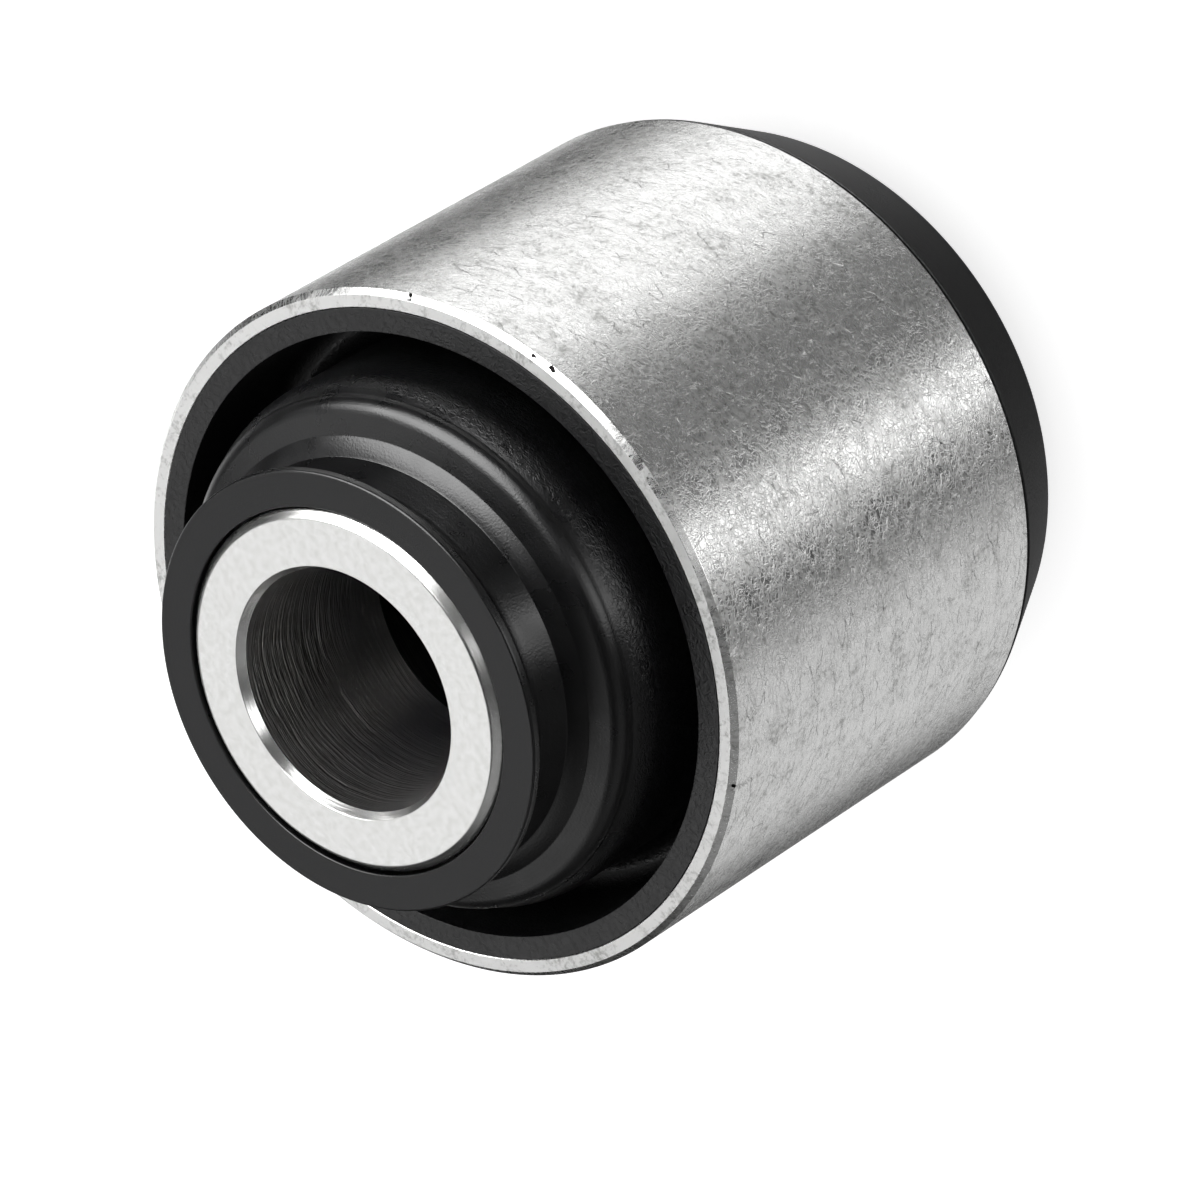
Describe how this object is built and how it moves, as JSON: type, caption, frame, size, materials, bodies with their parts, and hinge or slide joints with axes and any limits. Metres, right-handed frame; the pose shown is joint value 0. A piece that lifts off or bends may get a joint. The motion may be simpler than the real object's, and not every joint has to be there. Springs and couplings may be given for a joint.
{
  "type": "rubber metal bush",
  "caption": "Cylindrical suspension bush: steel outer and inner sleeves bonded by a moulded rubber body with a stepped front core, collars and a tapered rear flange.",
  "frame": {"origin": "centre of the rear end face of the inner sleeve, on which the bush stands", "axes": "+Z along the bush's axis, from its flanged rear end to its open front end"},
  "size_m": [0.04, 0.04, 0.0436],
  "materials": {
    "turned_steel": "fine turned, machined ends",
    "tumbled_steel": "satin with fine handling scratches",
    "moulded_rubber": "moulded, matte faces and glossier rounds"
  },
  "bodies": {
    "root": {"inner_sleeve": "turned_steel", "outer_sleeve": "tumbled_steel", "rubber_body": "moulded_rubber"}
  },
  "joints": []
}
